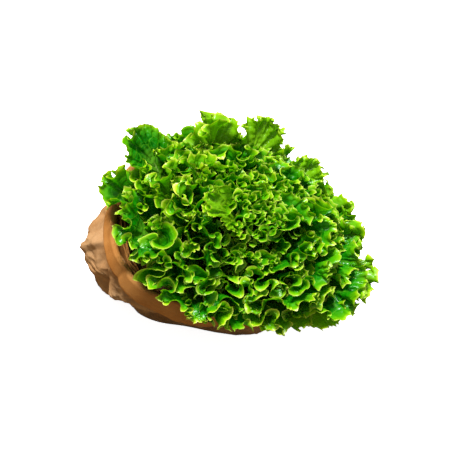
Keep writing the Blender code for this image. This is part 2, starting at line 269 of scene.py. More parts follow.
def wall_facets(dice):
    """The wall's large facets: jittered points, and triangles whose diagonals lean either way."""
    rows = len(WALL_HEIGHTS)
    bearing = np.tile(np.arange(WALL_COLUMNS) * math.tau / WALL_COLUMNS, (rows, 1))
    height = np.tile(np.array(WALL_HEIGHTS)[:, None], (1, WALL_COLUMNS))
    free = np.array(WALL_FREEDOM)[:, None]
    bearing = bearing + dice.uniform(-1, 1, bearing.shape) * FACET_SLIDE * math.tau / WALL_COLUMNS
    height = height + dice.uniform(-1, 1, height.shape) * FACET_RISE * free
    out = dice.uniform(-1, 1, height.shape) * FACET_JITTER * free
    points = wall_points(bearing, height, out).reshape(-1, 3)
    faces = []
    for row in range(rows - 1):
        for column in range(WALL_COLUMNS):
            following = (column + 1) % WALL_COLUMNS
            a, b = row * WALL_COLUMNS + column, row * WALL_COLUMNS + following
            c, d = b + WALL_COLUMNS, a + WALL_COLUMNS
            if dice.uniform() < 0.5:
                faces += [(a, b, c), (a, c, d)]
            else:
                faces += [(a, b, d), (b, c, d)]
    return points, np.array(faces)


def creased(points, faces, dice):
    """Splits each triangle in four, once for each step, and moves the new points by up to that step."""
    for step in CRUMPLE_STEPS:
        ends = np.sort(np.concatenate([faces[:, [0, 1]], faces[:, [1, 2]], faces[:, [2, 0]]]), axis=1)
        edges, which = np.unique(ends, axis=0, return_inverse=True)
        which = which.reshape(3, -1).T + len(points)
        middle = points[edges].mean(axis=1)
        outwards = middle * (1, 1, 0)
        outwards /= np.linalg.norm(outwards, axis=1, keepdims=True) + 1e-9
        loose = np.clip((middle[:, 2:] - CRUMPLE_FOOT[0]) / CRUMPLE_FOOT[1], 0, 1)
        middle = middle + outwards * dice.uniform(-step, step, (len(middle), 1)) * loose
        middle[:, 2] += dice.uniform(-step, step, len(middle)) * CRUMPLE_RISE * loose[:, 0]
        points = np.concatenate([points, middle])
        a, b, c = faces.T
        ab, bc, ca = which.T
        corners = ((a, ab, ca), (ab, b, bc), (ca, bc, c), (ab, bc, ca))
        faces = np.concatenate([np.stack(corner, 1) for corner in corners])
    return points, faces


def clear_of_the_ends(height, under):
    """1 on the open wall, and 0 at its glued foot and under the cuff."""
    return smooth_step((height - FOOT_FADE[0]) / FOOT_FADE[1]) * smooth_step((under[0] - height) / under[1])


def moved_out(points, moved):
    """Moves points straight out from the bag's axis."""
    scale = 1 + moved / np.hypot(points[:, 0], points[:, 1])
    return points * np.stack([scale, scale, np.ones_like(scale)], axis=1)


def crease_lines(points, lines):
    """Presses straight creases into the wall, or raises them where their depth is negative."""
    bearing = np.arctan2(points[:, 1], points[:, 0])
    moved = np.zeros(len(points))
    for first, low, last, high, depth, width in lines:
        start = np.array([0, low])
        run = np.array([math.radians(last - first) * WALL_RADIUS, high - low])
        apart = (bearing - math.radians(first) + math.pi) % math.tau - math.pi
        offset = np.stack([apart * WALL_RADIUS, points[:, 2]], 1) - start
        share = np.clip(offset @ run / (run @ run), 0, 1)
        away = np.linalg.norm(offset - share[:, None] * run, axis=1)
        moved -= depth * np.exp(-away / width) * np.sqrt(np.sin(math.pi * np.clip(share, *CREASE_ENDS)))
    return moved_out(points, moved * clear_of_the_ends(points[:, 2], CREASES_UNDER))


def crinkled(points, dice):
    """Folds the wall in zigzags that run in many directions, with flat bits between them."""
    turn = np.arctan2(-points[:, 1], -points[:, 0])
    place, height = turn * WALL_RADIUS, points[:, 2]
    moved = np.zeros(len(points))
    for _ in range(CRINKLE_SETS):
        heading, length = dice.uniform(0, math.pi), dice.uniform(*CRINKLE_LENGTHS)
        phase = (place * math.cos(heading) + height * math.sin(heading)) / length + dice.uniform()
        wide, tall = dice.uniform(*CRINKLE_PATCHES[0]), dice.uniform(*CRINKLE_PATCHES[1])
        near = np.sin(place / wide + height / tall + dice.uniform(0, 6))
        moved += CRINKLE_SLOPE * length * (np.abs(phase % 1 - 0.5) - 0.25) * smooth_step(0.5 + near)
    moved *= clear_of_the_ends(height, CRINKLES_UNDER)
    return moved_out(points, moved * smooth_step((math.pi - np.abs(turn)) / SEAM_FADE))


def sheet_object(name, points, faces):
    """An object made of these points and faces, which all have as many corners as each other."""
    mesh = bpy.data.meshes.new(name)
    mesh.vertices.add(len(points))
    mesh.vertices.foreach_set("co", np.asarray(points, np.float32).ravel())
    mesh.loops.add(faces.size)
    mesh.loops.foreach_set("vertex_index", faces.astype(np.int32).ravel())
    mesh.polygons.add(len(faces))
    mesh.polygons.foreach_set("loop_start", np.arange(0, faces.size, faces.shape[1], dtype=np.int32))
    mesh.update(calc_edges=True)
    mesh.polygons.foreach_set("use_smooth", [True] * len(faces))
    thing = bpy.data.objects.new(name, mesh)
    bpy.context.scene.collection.objects.link(thing)
    return thing


def paper_thickness(thing, offset):
    """Thickens a sheet to one side where offset is -1, and to both sides where it is 0."""
    ply = thing.modifiers.new("ply", "SOLIDIFY")
    ply.thickness = PAPER
    ply.offset = offset


bag_dice = np.random.RandomState(BAG_SEED)
facet_points, facet_faces = wall_facets(bag_dice)
wall_fine, wall_fine_faces = creased(facet_points, facet_faces, bag_dice)
all_creases = list(CREASES)
for _ in range(CREASES_ELSEWHERE):
    bearing, foot = bag_dice.uniform(*CREASE_BEARING), bag_dice.uniform(*CREASE_FOOT)
    all_creases.append((
        bearing, foot, bearing + bag_dice.uniform(*CREASE_SWING), foot + bag_dice.uniform(*CREASE_RISE),
        bag_dice.choice([-1, 1]) * bag_dice.uniform(*CREASE_DEPTH), bag_dice.uniform(*CREASE_WIDTH),
    ))
wall_fine = settled(crinkled(crease_lines(wall_fine, all_creases), bag_dice))
bag_wall = sheet_object("bag_wall", wall_fine, wall_fine_faces)
soften = bag_wall.modifiers.new("soften", "SMOOTH")
soften.iterations = 1
soften.factor = 0.2
paper_thickness(bag_wall, -1)

# Kraft paper: long fibres in two browns, in soft blotches, over a fine grain.
BLOTCH_DETAIL = 4
FIBRE_STRETCH = (1, 1, 5)
FIBRE_SCALE = 420
FIBRE_DETAIL = 3
FIBRE_SHARE = 0.55
FIBRE_SPREAD = (0.40, 1.05)
GRAIN_SCALE = 1500
GRAIN_DEPTH = 0.0006
GRAIN_STRENGTH = 0.9
PAPER_ROUGHNESS = 0.72
PAPER_GLOSS = 0.12

fibres = bpy.data.node_groups.new("kraft_fibres", "ShaderNodeTree")
for socket, side, kind in (
    ("Light Colour", "INPUT", "NodeSocketColor"), ("Dark Colour", "INPUT", "NodeSocketColor"),
    ("Blotch Size", "INPUT", "NodeSocketFloat"),
    ("Colour", "OUTPUT", "NodeSocketColor"), ("Relief", "OUTPUT", "NodeSocketFloat"),
):
    fibres.interface.new_socket(socket, in_out=side, socket_type=kind)
group_in = fibres.nodes.new("NodeGroupInput")
group_out = fibres.nodes.new("NodeGroupOutput")
paper_place = fibres.nodes.new("ShaderNodeTexCoord")
blotches = new_node(fibres, "ShaderNodeTexNoise", {"Detail": BLOTCH_DETAIL})
stretched = new_node(fibres, "ShaderNodeMapping", {"Scale": FIBRE_STRETCH})
threads = new_node(fibres, "ShaderNodeTexNoise", {"Scale": FIBRE_SCALE, "Detail": FIBRE_DETAIL})
fine_grain = new_node(fibres, "ShaderNodeTexNoise", {"Scale": GRAIN_SCALE})
sum_up = new_node(fibres, "ShaderNodeMath", {1: FIBRE_SHARE})
sum_up.operation = "MULTIPLY_ADD"
fibre_spread = new_node(fibres, "ShaderNodeMapRange", {
    "From Min": FIBRE_SPREAD[0], "From Max": FIBRE_SPREAD[1],
})
browns = fibres.nodes.new("ShaderNodeMix")
browns.data_type = "RGBA"
join(
    fibres,
    (paper_place, "Object", blotches, "Vector"), (group_in, "Blotch Size", blotches, "Scale"),
    (paper_place, "Object", stretched, "Vector"), (stretched, "Vector", threads, "Vector"),
    (paper_place, "Object", fine_grain, "Vector"), (threads, "Fac", sum_up, 0),
    (blotches, "Fac", sum_up, 2), (sum_up, "Value", fibre_spread, "Value"),
    (fibre_spread, "Result", browns, "Factor"), (group_in, "Dark Colour", browns, "A"),
    (group_in, "Light Colour", browns, "B"), (browns, "Result", group_out, "Colour"),
    (fine_grain, "Fac", group_out, "Relief"),
)


def kraft_finish(name, light, dark, blotch):
    finish = bpy.data.materials.new(name)
    finish.use_nodes = True
    tree = finish.node_tree
    shader = with_inputs(tree.nodes["Principled BSDF"], {
        "Roughness": PAPER_ROUGHNESS, "Specular IOR Level": PAPER_GLOSS,
    })
    fibre = tree.nodes.new("ShaderNodeGroup")
    fibre.node_tree = fibres
    with_inputs(fibre, {"Light Colour": light, "Dark Colour": dark, "Blotch Size": blotch})
    bump = new_node(tree, "ShaderNodeBump", {"Strength": GRAIN_STRENGTH, "Distance": GRAIN_DEPTH})
    join(
        tree,
        (fibre, "Colour", shader, "Base Color"), (fibre, "Relief", bump, "Height"),
        (bump, "Normal", shader, "Normal"),
    )
    return finish


def made_of_kraft(piece, finish):
    piece.data.materials.append(finish)
    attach(piece, "root")
    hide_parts("paper_bag")


wall_paper = kraft_finish(
    "kraft_wall", light=(0.32, 0.190, 0.090, 1), dark=(0.20, 0.082, 0.018, 1), blotch=26)
made_of_kraft(bag_wall, wall_paper)

# The bag's floor: a flat oblong of the same paper, folded under and glued inside the foot of the wall. It is
# what the bag stands on.
FLOOR_COLUMNS = 96
FLOOR_SHARES = (0.02, 0.3, 0.6, 0.85, 0.99)
FLOOR_LEVEL = 0.0008


def grid_faces(columns, rows, closed=False):
    """Quads of a grid of points that is stored column by column."""
    index = np.arange(columns * rows).reshape(columns, rows)
    following = np.roll(index, -1, axis=0) if closed else index[1:]
    index = index if closed else index[:-1]
    return np.stack([index[:, :-1], following[:, :-1], following[:, 1:], index[:, 1:]], -1).reshape(-1, 4)


def round_the_bag(bearings, radius, height):
    """Points at these bearings, radii and heights, as a list that is stored column by column."""
    x, y = radius * np.cos(bearings)[:, None], radius * np.sin(bearings)[:, None]
    return np.stack([x, y, np.broadcast_to(height, radius.shape)], -1).reshape(-1, 3)


floor_bearings = np.arange(FLOOR_COLUMNS) * math.tau / FLOOR_COLUMNS
floor_reach = bag_radius(floor_bearings, 0.0)[:, None] * np.array(FLOOR_SHARES)
floor_points = settled(round_the_bag(floor_bearings, floor_reach, FLOOR_LEVEL))
bag_floor = sheet_object("bag_floor", floor_points, grid_faces(FLOOR_COLUMNS, len(FLOOR_SHARES), closed=True))
paper_thickness(bag_floor, 0)
made_of_kraft(bag_floor, wall_paper)

# The bag's cuff. The mouth is rolled outwards once, so that a smoother band goes round it, folded at the top.
# Its hem stands a little off the wall, and it is pinched where the bag's corners come up to it.
CUFF_FOLD = 0.0024
FOLD_LEVEL = RIM_HEIGHT - CUFF_FOLD
FOLD_TURNS = (20, 160)
FOLD_ROWS = 8
INNER_OFFSET = -0.0008
INNER_DROP = 0.020
INNER_STEPS = (1, 0.7, 0.4, 0.15, 0)
CUFF_DROP = 0.029
CUFF_ROWS = 12
CUFF_COLUMNS = 420
# By bearing in degrees: how far the hem stands off the wall, and the cuff's drop as a share of CUFF_DROP
CUFF_FLARES = (
    (0, 0.003), (205, 0.002), (232, 0.003), (246, 0.0065), (262, 0.010), (284, 0.008), (320, 0.003),
)
CUFF_SHARES = (
    (0, 1.0), (120, 1.0), (160, 0.50), (178, 0.34), (204, 0.36), (214, 0.54), (224, 0.70), (245, 0.84),
    (262, 1.0), (300, 1.0),
)
# The slow waves of the band: how many go round, and how tall they are
CUFF_WAVES = ((2, 0.0012), (3, 0.0014), (5, 0.0010), (9, 0.0006), (16, 0.0004))
DIP_SHARE = 0.9
INNER_SWAY = 0.35
# Where it is pinched: bearing in degrees, depth, and spread in radians
PINCHES = (
    (-142, 0.0040, 0.06), (-100, 0.0012, 0.10), (163, 0.0026, 0.07), (35, 0.0025, 0.08), (-35, 0.0022, 0.08),
)
BUCKLE_HEIGHT = 0.0018
BUCKLE_SCALE = (6, 6, 3)


def cuff_profile():
    """Offset outwards and height of the cuff's rows, from inside the wall over the fold to the hem."""
    rows = [(INNER_OFFSET, FOLD_LEVEL - INNER_DROP * step) for step in INNER_STEPS]
    for turn in np.radians(np.linspace(*FOLD_TURNS, FOLD_ROWS)):
        rows.append((CUFF_FOLD * (1 - math.cos(turn)), FOLD_LEVEL + CUFF_FOLD * math.sin(turn)))
    for step in np.linspace(0, 1, CUFF_ROWS):
        rows.append((2 * CUFF_FOLD, FOLD_LEVEL - (CUFF_DROP - CUFF_FOLD) * step))
    return np.array(rows).T


def slow_waves(bearings, dice):
    return sum(size * np.sin(times * bearings + dice.uniform(0, 6)) for times, size in CUFF_WAVES)


def by_bearing(bearings, table):
    return np.interp(np.degrees(bearings), *np.array(table).T, period=360)[:, None]


cuff_bearings = np.arange(CUFF_COLUMNS) * math.tau / CUFF_COLUMNS
row_offset, row_height = cuff_profile()
cuff_dice = np.random.RandomState(BAG_SEED + 1)
sway = slow_waves(cuff_bearings, cuff_dice)
dip = slow_waves(cuff_bearings, cuff_dice)
for degrees, depth, spread in PINCHES:
    apart = (cuff_bearings - math.radians(degrees) + math.pi) % math.tau - math.pi
    sway = sway - depth * np.exp(-np.abs(apart) / spread)
outside = np.clip(np.arange(len(row_height)) / (len(INNER_STEPS) + FOLD_ROWS - 1), 0, 1)
turned_down = (row_height < FOLD_LEVEL) & (row_offset > 0)
cuff_drop = FOLD_LEVEL + (row_height - FOLD_LEVEL) * by_bearing(cuff_bearings, CUFF_SHARES)
cuff_height = np.where(turned_down, cuff_drop, row_height) + dip[:, None] * DIP_SHARE
turned_share = np.where(turned_down, (FOLD_LEVEL - row_height) / (CUFF_DROP - CUFF_FOLD), 0)
buckles = np.array([[
    noise.noise(Vector((math.cos(bearing), math.sin(bearing), row)) * Vector(BUCKLE_SCALE)) for row in outside
] for bearing in cuff_bearings])
cuff_radius = bag_radius(cuff_bearings[:, None], np.clip(row_height / RIM_HEIGHT, 0, 1)[None, :])
cuff_radius = cuff_radius + by_bearing(cuff_bearings, CUFF_FLARES) * turned_share
cuff_radius = cuff_radius + row_offset + sway[:, None] * (INNER_SWAY + (1 - INNER_SWAY) * outside)
cuff_radius = cuff_radius + BUCKLE_HEIGHT * np.abs(buckles) * outside
cuff_points = settled(round_the_bag(cuff_bearings, cuff_radius, cuff_height))
bag_cuff = sheet_object("bag_cuff", cuff_points, grid_faces(CUFF_COLUMNS, len(row_height), closed=True))
paper_thickness(bag_cuff, -1)
cuff_paper = kraft_finish(
    "kraft_cuff", light=(0.345, 0.158, 0.042, 1), dark=(0.20, 0.063, 0.006, 1), blotch=34)
made_of_kraft(bag_cuff, cuff_paper)

# The pleats inside the mouth. Where the bag's gusset comes up to the rim, plies of the same paper lie one
# inside another, and their top edges step down into the bag.
# Each ply: how far inside the wall it lies, the bearings of its ends in degrees, and the height of its top
PLEATS = ((0.0050, 150, 236, 0.1035), (0.0085, 168, 244, 0.1010), (0.0120, 184, 232, 0.0985))
PLEAT_DROP = 0.030
PLEAT_LEAN = 0.10
PLEAT_COLUMNS = 60
PLEAT_ROWS = 8
PLEAT_RISE = 0.97
PLEAT_END_SQUARENESS = 0.35
PLEAT_END_DROP = 0.003
PLEAT_WAVES = ((0.0009, 9, 2), (0.0006, 23, 1))
PLEAT_EDGE_WAVE = (0.0009, 14)

pleat_points = []
pleat_faces = []
for number, (inset, first, last, top) in enumerate(PLEATS):
    bearings = np.radians(np.linspace(first, last, PLEAT_COLUMNS))
    heights = top - PLEAT_DROP * np.linspace(0, 1, PLEAT_ROWS)
    ends = np.sin(np.linspace(0, math.pi, PLEAT_COLUMNS)) ** PLEAT_END_SQUARENESS
    wander = sum(size * np.sin(times * bearings + shift * number) for size, times, shift in PLEAT_WAVES)
    radius = bag_radius(bearings, PLEAT_RISE)[:, None] - (inset * ends + wander)[:, None]
    radius = radius - PLEAT_LEAN * (top - heights)[None, :]
    edge_wave = PLEAT_EDGE_WAVE[0] * np.sin(PLEAT_EDGE_WAVE[1] * bearings + number)
    drop = (PLEAT_END_DROP * (1 - ends) + edge_wave)[:, None]
    pleat_faces.append(grid_faces(PLEAT_COLUMNS, PLEAT_ROWS) + number * PLEAT_COLUMNS * PLEAT_ROWS)
    pleat_points.append(round_the_bag(bearings, radius, heights[None, :] - drop))
bag_pleats = sheet_object("bag_pleats", settled(np.concatenate(pleat_points)), np.concatenate(pleat_faces))
paper_thickness(bag_pleats, 0)
made_of_kraft(bag_pleats, cuff_paper)

# The leaves. One plant: they spiral round a short stalk, the outermost lowest and leaning out over the rim.
# A blade is thin and blistered between its veins. Its margin grows much longer than the blade, so it frills:
# long folds, loops on the folds, curls on the loops, and pointed teeth with hollow bays between them.
GOLDEN_ANGLE = math.radians(137.508)
LEAF_SEED = 40
LEAF_COUNT = 62
LEAVES_A_PIECE = 11
ROOT_RADIUS = (0.011, 0.004)
ROOT_HEIGHT = 0.024
HEAD_LEAN = (0.026, -0.015)
LEAN_HEIGHT = 0.180
LEAN_POWER = 1.2
# The grid over a blade: how far apart its columns are at the margin, how sparse they are near the root, its
# rows from the midrib to the margin, and the first row that has every column
COLUMN_WIDTH = 0.00047
HIDDEN_PLACE = 0.66
HIDDEN_DENSITY = 0.20
LEAF_DEPTHS = (0.0, 0.22, 0.42, 0.58, 0.69, 0.78, 0.84, 0.885, 0.92, 0.95, 0.975, 1.0)
FINE_ROW = 7
# From the outermost leaf to the heart: lengths, half widths and angles from upright at the root and the tip
LEAF_LENGTH = (0.160, 0.158)
LEAF_HALF_WIDTH = (0.056, 0.032)
LEAF_START = (37, 3)
LEAF_END = (70, -8)
# How much single leaves vary from that, and the ranges of their other measures, in the order they are drawn
LEAF_VARIES = {
    "bearing": (-8, 8), "length": (0.95, 1.05), "half_width": (0.90, 1.10), "start": (-3, 3), "end": (-7, 7),
    "turn": (-0.25, 0.25), "phases": (0, math.tau, 16), "tone_and_painted_light": (0, 0.86), "frill": (0.70, 1.12),
    "curl": (0.2, 1.2), "fineness": (-0.45, 0.18),
}
# How much further or less far the head reaches, in millimetres, at every 30 degrees round it from +X
HEAD_REACH = (8, 3, -2, 3, 2, 2, 19, 14, -14, -24, 6, 26)
# The flat blade: its roundness, its widths at the root and added by the tip, the stalk's width, how much of
# the margin rounds the tip, and how far up a vein leaves the midrib
BLADE_ROUNDNESS = 0.8
BLADE_WIDTHS = (0.42, 0.66)
STALK_WIDTH = 0.10
TIP_ROUNDING = 0.16
VEIN_ROOT = 0.76
# The bent blade: how late it bends, and its curve across, per metre, at the tip and added at the root
BEND_STEPS = 40
BEND_LATENESS = 1.5
CUP = (9.0, 26.0)
# The waves of the frill on outer leaves and at the heart: how long and how tall each is, how fast it fades
# into the blade, and how much it wanders
FOLDS = {"length": (0.060, 0.045), "height": (0.0135, 0.0090), "reach": 1.5, "wander": 0.9}
LOOPS = {"length": (0.030, 0.0112), "height": (0.0125, 0.0052), "reach": 2.4, "wander": 1.0}
CURLS = {"length": (0.0096, 0.0052), "height": (0.0036, 0.0023), "reach": 6.0, "wander": 1.1}
# How a wave wanders, swells and swerves: by how much, over what share of its length, and which phase it has
WANDERS = ((1, 0.55, 1), (0.6, 0.9, 2))
SWELLS = ((0.30, 0.43, 2), (0.26, 1.3, 1))
MEAN_SWELL = 0.66
SWERVE = 1.6
SWERVE_SHARE = 1.1
OVERHANG = 0.40
# How far round the margin rolls with its loops and with its curls, and how fast that fades into the blade
FLARE = math.radians(34)
FLARE_REACH = 5.0
FLARE_EVENNESS = 0.4
ROLL = math.radians(26)
ROLL_REACH = 9.0
# The part of the margin near the root that frills less, and the share of the loops that it keeps
CALM_PART = 0.35
CALM_LOOPS = 0.35
# The teeth on outer leaves and at the heart, and how they lean, fade into the blade, wander and swell
TOOTH_LENGTH = (0.0040, 0.0027)
TOOTH_HEIGHT = (0.0048, 0.0040)
TOOTH_LEAN = 0.45
TOOTH_REACH = 16
TOOTH_WANDER = (0.9, 0.9)
TOOTH_SWELL = (0.56, 0.44, 0.7)
# The blisters: their height and size, how they drift, and how they fade at the midrib and the margin
BLISTER_HEIGHT = 0.0011
BLISTER_SIZE = (0.0021, 0.0026)
BLISTER_DRIFT = (0.0052, 0.0047)
BLISTER_FADE = (0.25, 0.12)
# How the bag holds the leaves: how clear of its paper they stay, how far above the rim they start to spread,
# by how much, and how gently they are held
RIM_CLEARANCE = 0.010
RIM_ALLOWANCE = 0.004
SPREAD_ABOVE = 3.2
HOLD_SOFTNESS = 0.012
# Leaves that stand out of the head, the last one in its middle: where each tip is, its half width, how much
# its blade bends in degrees, its frill, and how pale it is. That paleness is partly the leaf's own paler
# green and partly painted light: the leaves at the top and at +X are made paler so that they look lit
STANDING_LEAVES = (
    (-0.116, 0.062, 0.151, 0.033, 35, 0.42, 0.45),
    (-0.131, 0.007, 0.130, 0.030, 50, 0.80, 0.75),
    (-0.033, 0.093, 0.177, 0.026, 20, 1.1, 1.00),
    (0.026, 0.110, 0.173, 0.028, 20, 1.1, 1.00),
    (0.088, 0.076, 0.166, 0.024, 25, 0.95, 1.00),
    (0.134, 0.040, 0.150, 0.026, 35, 0.95, 0.90),
    (0.148, 0.014, 0.152, 0.016, 30, 0.90, 0.85),
    (0.169, -0.037, 0.134, 0.036, 50, 0.95, 0.93),
    (0.150, -0.065, 0.134, 0.030, 55, 0.95, 0.88),
    (0.132, -0.091, 0.134, 0.034, 55, 0.72, 0.95),
    (0.087, -0.114, 0.131, 0.032, 60, 0.60, 0.93),
    (-0.044, -0.033, 0.191, 0.030, 95, 0.55, 1.00),
)
STANDING_SEED = 540
STANDING_CURL = 0.6
# How a tip's height sets where its leaf grows from and how fine its frill is
STANDING_FROM = 0.11
STANDING_INWARD = (0.12, 0.6)
STANDING_FINENESS = (0.08, 0.8)


def head_lean(height):
    lean = (np.clip(height, 0, None) / LEAN_HEIGHT) ** LEAN_POWER
    return HEAD_LEAN[0] * lean, HEAD_LEAN[1] * lean


def between(pair, share):
    return pair[0] + (pair[1] - pair[0]) * share


def leaf_plans():
    """What sets each leaf apart, from the outermost to the heart."""
    plans = []
    for number in range(LEAF_COUNT):
        dice = np.random.RandomState(LEAF_SEED + number)
        drawn = {name: dice.uniform(*limits) for name, limits in LEAF_VARIES.items()}
        inward = number / (LEAF_COUNT - 1)
        bearing = number * GOLDEN_ANGLE + math.radians(drawn["bearing"])
        reach = np.interp(math.degrees(bearing), np.arange(12) * 30, HEAD_REACH, period=360) / 1000
        plans.append({
            **drawn,
            "inward": inward,
            "bearing": bearing,
            "length": between(LEAF_LENGTH, inward) * drawn["length"] + reach * (1 - inward) ** 0.5,
            "half_width": between(LEAF_HALF_WIDTH, inward) * drawn["half_width"],
            "start": math.radians(between(LEAF_START, inward) + drawn["start"]),
            "end": math.radians(between(LEAF_END, inward) + drawn["end"]),
            "fineness": min(max(inward + drawn["fineness"], 0.0), 1.0),
        })
    return plans


def standing_plans():
    """Leaves aimed at the tips in STANDING_LEAVES."""
    plans = []
    for number, (x, y, z, half_width, bend, frill, paleness_and_painted_light) in enumerate(STANDING_LEAVES):
        dice = np.random.RandomState(STANDING_SEED + number)
        lean_x, lean_y = head_lean(z)
        x, y = x - lean_x, y - lean_y
        run, rise = math.hypot(x, y) - ROOT_RADIUS[0], z - ROOT_HEIGHT
        slope, bend = math.atan2(run, rise), math.radians(bend)
        bent_on_average = bend / (1 + BEND_LATENESS)
        plans.append({
            "inward": min((z - STANDING_FROM) / STANDING_INWARD[0], STANDING_INWARD[1]),
            "bearing": math.atan2(y, x),
            "length": math.hypot(run, rise) * (1 + bend ** 2 / 24),
            "half_width": half_width,
            "start": slope - bent_on_average,
            "end": slope - bent_on_average + bend,
            "turn": 0.0,
            "phases": dice.uniform(0, math.tau, 16),
            # Partly painted light: this paleness lightens the leaves at the top and at +X as if they were
            # lit, on top of their own paler green
            "tone_and_painted_light": paleness_and_painted_light,
            "frill": frill,
            "curl": STANDING_CURL,
            "fineness": min((z - STANDING_FROM) / STANDING_FINENESS[0], STANDING_FINENESS[1]),
        })
    return plans


def blade_outline(plan, place):
    """Margin points of the flat blade, and where their veins leave the midrib.

    place runs from -1 at one side of the root, over 0 at the tip, to 1 at the other side."""
    from_tip = np.abs(place)
    along = 0.5 + 0.5 * np.cos(math.pi * from_tip)
    widths = BLADE_WIDTHS[0] + BLADE_WIDTHS[1] * along
    across = np.sin(math.pi * from_tip) ** BLADE_ROUNDNESS * widths + STALK_WIDTH
    across = np.sign(place) * plan["half_width"] * (across * smooth_step(from_tip / TIP_ROUNDING))
    return across, plan["length"] * along, plan["length"] * VEIN_ROOT * along


def margin_arc(across, along):
    return np.concatenate([[0], np.cumsum(np.hypot(np.diff(across), np.diff(along)))])


def margin_places(plan):
    """Places spread evenly along the margin, and sparsely near the root, where leaves hide it."""
    even = np.linspace(-1, 1, 4001)
    across, along, _ = blade_outline(plan, even)
    density = np.where(np.abs(even) > HIDDEN_PLACE, HIDDEN_DENSITY, 1.0)
    steps = np.diff(margin_arc(across, along)) * (density[1:] + density[:-1]) / 2
    counted = np.concatenate([[0], np.cumsum(steps)])
    cells = 2 * round(counted[-1] / COLUMN_WIDTH / 2)
    return np.interp(np.linspace(0, counted[-1], cells + 1), counted, even)


def cupped(plan, across, along):
    """The blade bent to its midrib and cupped round the head, before it frills."""
    steps = np.linspace(0, 1, BEND_STEPS + 1)
    slopes = plan["start"] + (plan["end"] - plan["start"]) * steps ** BEND_LATENESS
    each = plan["length"] / BEND_STEPS
    run = np.concatenate([[0], np.cumsum((np.sin(slopes[1:]) + np.sin(slopes[:-1])) / 2)]) * each
    rise = np.concatenate([[0], np.cumsum((np.cos(slopes[1:]) + np.cos(slopes[:-1])) / 2)]) * each
    share = along / plan["length"]
    out = between(ROOT_RADIUS, plan["inward"]) + np.interp(share, steps, run)
    height = ROOT_HEIGHT + np.interp(share, steps, rise)
    slope = np.interp(share, steps, slopes)
    cup = CUP[0] + CUP[1] * (1 - share) ** 2
    inwards = (1 - np.cos(cup * across)) / cup
    return np.stack([
        out - np.cos(slope) * inwards, np.sin(cup * across) / cup, height + np.sin(slope) * inwards,
    ], axis=-1)


def sheet_directions(points):
    """Unit vectors along the margin and square to the sheet, at each point of the grid."""
    along_margin = np.gradient(points, axis=0)
    square = np.cross(along_margin, np.gradient(points, axis=1))
    square /= np.linalg.norm(square, axis=-1, keepdims=True) + 1e-12
    along_margin /= np.linalg.norm(along_margin, axis=-1, keepdims=True) + 1e-12
    return along_margin, square


def wave_phase(arc, grow, wave, fineness, phases):
    """The wave's phase over the grid, and how much of its height each column takes."""
    length = between(wave["length"], fineness)
    phase = math.tau * arc / length + phases[0]
    for size, share, which in WANDERS:
        phase = phase + size * wave["wander"] * np.sin(arc / (share * length) + phases[which])
    uneven = MEAN_SWELL
    for size, share, which in SWELLS:
        uneven = uneven + size * np.sin(arc / (share * length) + phases[which])
    swerve = SWERVE * np.sin(arc / (SWERVE_SHARE * length) + phases[0])
    return phase[:, None] + swerve[:, None] * (1 - np.sqrt(grow)), uneven[:, None]


def waved(points, arc, grow, wave, fineness, phases):
    """Folds the sheet in waves that lean over at their crests. grow is 0 where they have died away."""
    phase, uneven = wave_phase(arc, grow, wave, fineness, phases)
    tall = between(wave["height"], fineness) * uneven * grow
    along_margin, square = sheet_directions(points)
    lift = tall * np.sin(phase)
    shift = -OVERHANG * tall * np.sin(2 * phase)
    return points + square * lift[..., None] + along_margin * shift[..., None]


def flared(points, angle):
    """Turns each step from row to row about the margin, so that the edge rolls over by that angle."""
    along_margin, _ = sheet_directions(points)
    axis = along_margin[:, 1:]
    steps = np.diff(points, axis=1)
    turn = (angle[:, 1:] + angle[:, :-1])[..., None] / 2
    kept = axis * (axis * steps).sum(axis=-1, keepdims=True) * (1 - np.cos(turn))
    steps = steps * np.cos(turn) + np.cross(axis, steps) * np.sin(turn) + kept
    return np.concatenate([points[:, :1], points[:, :1] + np.cumsum(steps, axis=1)], axis=1)


def blistered(points, across, along, depth, phases):
    """Swells the blade in small round blisters."""
    over = np.sin(across / BLISTER_SIZE[0] + 2 * np.sin(along / BLISTER_DRIFT[0] + phases[12]))
    up = np.sin(along / BLISTER_SIZE[1] + 2 * np.sin(across / BLISTER_DRIFT[1] + phases[13]))
    fade = smooth_step(depth / BLISTER_FADE[0]) * smooth_step((1 - depth) / BLISTER_FADE[1])
    _, square = sheet_directions(points)
    return points + square * (BLISTER_HEIGHT * np.abs(over * up) * fade)[..., None]


def toothed(points, arc, grow, fineness, phases):
    """Draws the margin out in pointed teeth that lean to both sides of the sheet by turns."""
    spacing = between(TOOTH_LENGTH, fineness)
    wander = TOOTH_WANDER[0] * np.sin(arc / (TOOTH_WANDER[1] * spacing) + phases[9])
    cusp = math.pi * arc / spacing + wander + phases[8]
    tooth = between(TOOTH_HEIGHT, fineness) * (1 - np.abs(np.sin(cusp)))
    tooth *= TOOTH_SWELL[0] + TOOTH_SWELL[1] * np.sin(arc / (TOOTH_SWELL[2] * spacing) + phases[10])
    outwards = np.gradient(points, axis=1)
    outwards /= np.linalg.norm(outwards, axis=-1, keepdims=True) + 1e-12
    _, square = sheet_directions(points)
    outwards += square * (TOOTH_LEAN * np.sign(np.cos(cusp)))[:, None, None]
    return points + outwards * (tooth[:, None] * grow)[..., None]


def kept_in_the_bag(points):
    """Draws points in from the bag's wall and rim, so that the blades stay clear of the paper."""
    bearing = np.arctan2(points[..., 1], points[..., 0])
    radius = np.hypot(points[..., 0], points[..., 1])
    rise = np.clip(points[..., 2] / RIM_HEIGHT, 0, 1)
    over = np.maximum(points[..., 2] - RIM_HEIGHT - RIM_ALLOWANCE, 0)
    room = bag_radius(bearing, rise) - RIM_CLEARANCE + SPREAD_ABOVE * over
    near = radius - room + HOLD_SOFTNESS
    held = np.where(near > 0, room - HOLD_SOFTNESS * np.exp(-near / HOLD_SOFTNESS), radius)
    scale = held / np.maximum(radius, 1e-9)
    return points * np.stack([scale, scale, np.ones_like(scale)], axis=-1)


